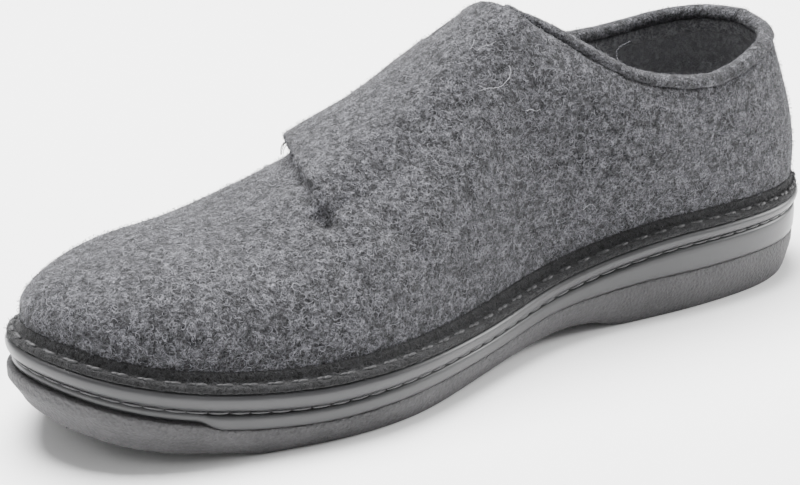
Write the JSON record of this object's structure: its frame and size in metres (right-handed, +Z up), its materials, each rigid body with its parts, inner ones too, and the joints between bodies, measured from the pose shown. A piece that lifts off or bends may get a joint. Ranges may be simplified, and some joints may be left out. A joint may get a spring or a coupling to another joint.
{
  "type": "felt slipper",
  "caption": "Low felt slipper with a closed vamp, a wide felt flap fastened across the instep, a rolled collar and a thick two-part sole with a stitched black welt.",
  "frame": {"origin": "middle of the shoe's length and width, on the floor under the sole", "axes": "+X toward the heel, -X toward the toe, +Y toward the outer side of the right foot, +Z up"},
  "size_m": [0.298, 0.1126, 0.1072],
  "materials": {
    "outsole_rubber": "matte, finely pebbled",
    "midsole_foam": "smooth moulded foam with a soft gloss",
    "black_welt": "near-black felt strip with a stitched row",
    "insole_felt": "near-black felt",
    "charcoal_felt": "mottled boiled wool",
    "rim_felt": "rolled edge of boiled wool",
    "flap_felt": "mottled boiled wool"
  },
  "bodies": {
    "root": {"outsole": "outsole_rubber", "midsole": "midsole_foam", "welt": "black_welt", "insole": "insole_felt", "upper": "charcoal_felt", "collar_rim": "rim_felt", "flap": "flap_felt"}
  },
  "joints": []
}
